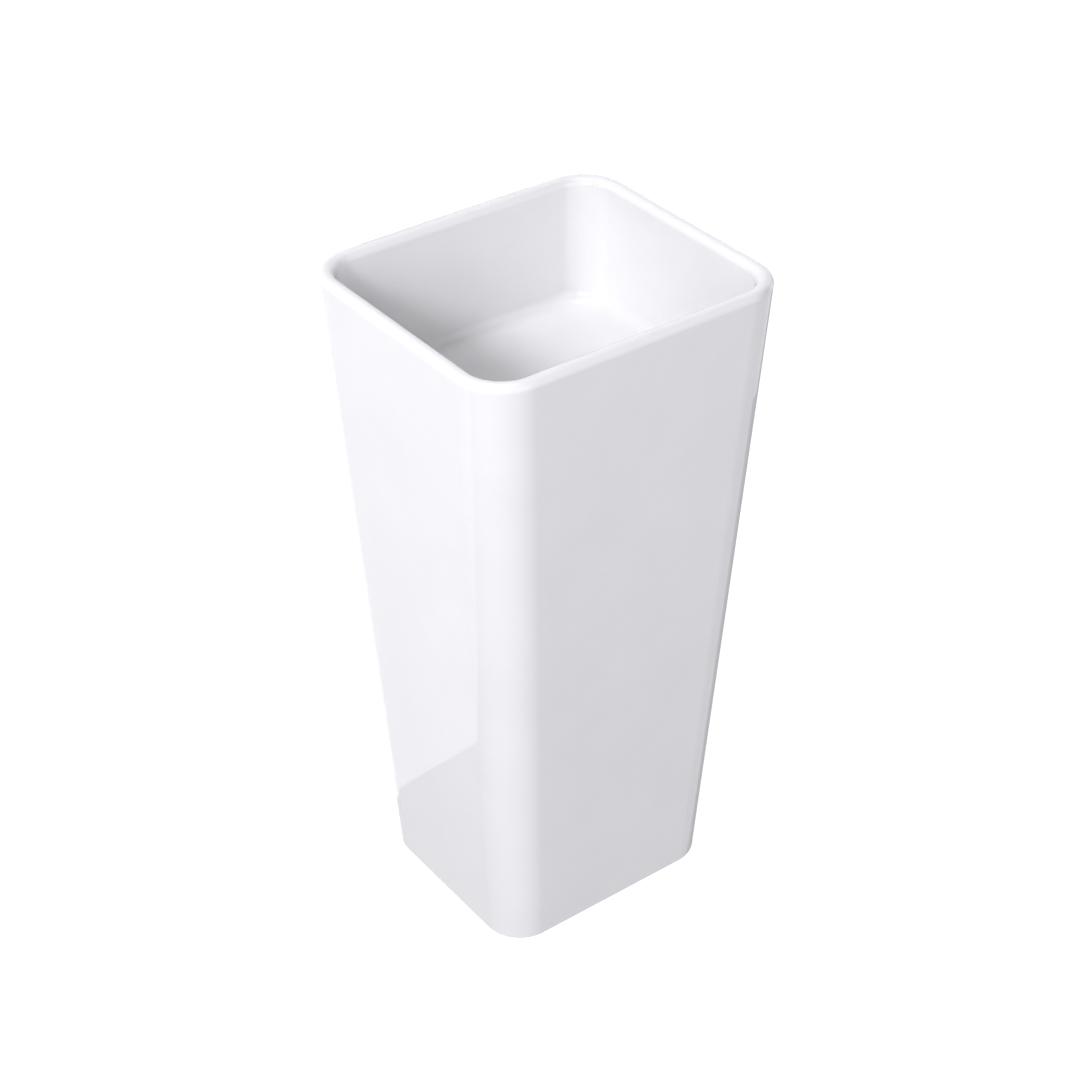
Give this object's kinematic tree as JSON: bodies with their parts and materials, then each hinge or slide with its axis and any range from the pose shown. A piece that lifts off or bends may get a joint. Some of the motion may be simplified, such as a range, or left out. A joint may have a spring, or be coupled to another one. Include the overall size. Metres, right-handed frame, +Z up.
{
  "type": "pedestal sink",
  "caption": "Freestanding tower washbasin: tapered one-piece white ceramic pedestal with a deep rounded-rectangular bowl, click waste, bottle trap, rear outlet and floor fixings.",
  "frame": {"origin": "on the floor under the middle of the ceramic body", "axes": "+Z up, -Y towards the user, +Y towards the wall, +X to the right of a viewer who looks along +Y"},
  "size_m": [0.4218, 0.371, 0.85],
  "materials": {
    "ceramic": "high gloss white glaze",
    "chrome": "polished chrome plate",
    "brass": "machined",
    "zinc_steel": "bright zinc plated",
    "spring_steel": "drawn wire",
    "rubber": "matt black",
    "trap_plastic": "moulded white polypropylene",
    "white_plastic": "natural nylon",
    "gloss_plastic": "glossy white",
    "grey_plastic": "grey acetal"
  },
  "bodies": {
    "basin": {"ceramic_body": "ceramic", "click_cartridge": "grey_plastic", "click_spring": "spring_steel", "waste_body": "chrome", "flange_seal": "rubber", "under_seal": "rubber", "slip_washer": "white_plastic", "back_nut": "brass", "trap_union_nut": "trap_plastic", "trap_union_seal": "rubber", "trap_dip_tube": "trap_plastic", "trap_head": "trap_plastic", "trap_top_seal": "rubber", "trap_top_nut": "trap_plastic", "outlet_nut": "trap_plastic", "outlet_seal": "rubber", "outlet_pipe": "trap_plastic", "left_bracket": "zinc_steel", "left_screw_sleeve": "white_plastic", "left_washer": "zinc_steel", "left_screw": "zinc_steel", "left_nut": "zinc_steel", "left_cover_cap": "gloss_plastic", "right_bracket": "zinc_steel", "right_screw_sleeve": "white_plastic", "right_washer": "zinc_steel", "right_screw": "zinc_steel", "right_nut": "zinc_steel", "right_cover_cap": "gloss_plastic"},
    "plug": {"plug_cap": "chrome", "plug_seal": "rubber", "plug_stem": "brass"},
    "trap_cup_body": {"trap_cup": "trap_plastic", "trap_cup_seal": "rubber"},
    "rosette": {"wall_rosette": "chrome"}
  },
  "joints": [
    {"name": "plug_lift", "type": "slide", "parent": "basin", "child": "plug", "axis": [0, 0, 1], "range_m": [0, 0.009], "deforming": ["click_spring"]},
    {"name": "trap_cup_drop", "type": "slide", "parent": "basin", "child": "trap_cup_body", "axis": [0, 0, -1], "range_m": [0, 0.075]},
    {"name": "rosette_slide", "type": "slide", "parent": "basin", "child": "rosette", "axis": [0, -1, 0], "range_m": [0, 0.06]}
  ]
}
